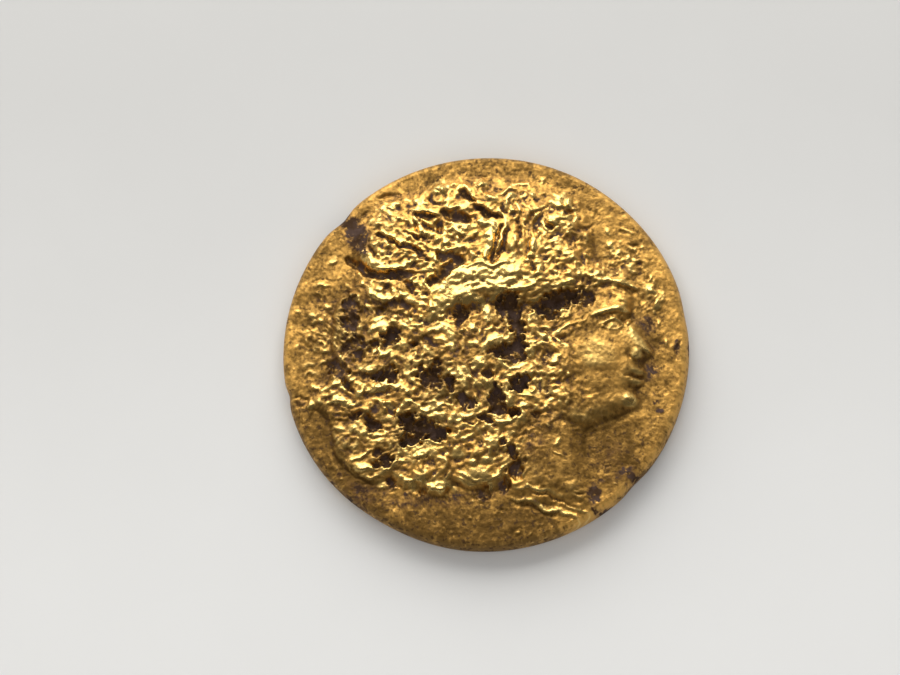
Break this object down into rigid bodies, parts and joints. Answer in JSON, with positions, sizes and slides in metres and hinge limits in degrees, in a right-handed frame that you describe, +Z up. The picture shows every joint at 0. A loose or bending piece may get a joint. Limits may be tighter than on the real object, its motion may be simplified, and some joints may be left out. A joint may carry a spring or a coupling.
{
  "type": "ancient gold coin",
  "caption": "Thick hand-struck gold coin with a helmeted, curly head in profile in high relief, a rounded uneven edge and a worn rosette on the reverse.",
  "frame": {"origin": "middle of the coin's outline, on the plane it lies on", "axes": "+Z up through the obverse, +Y towards the top of the head, +X the way the head faces"},
  "size_m": [0.0186, 0.0186, 0.0028],
  "materials": {
    "gold": "worn struck gold, bright on the high points, with dark brown dirt in the hollows"
  },
  "bodies": {
    "root": {"coin": "gold"}
  },
  "joints": []
}
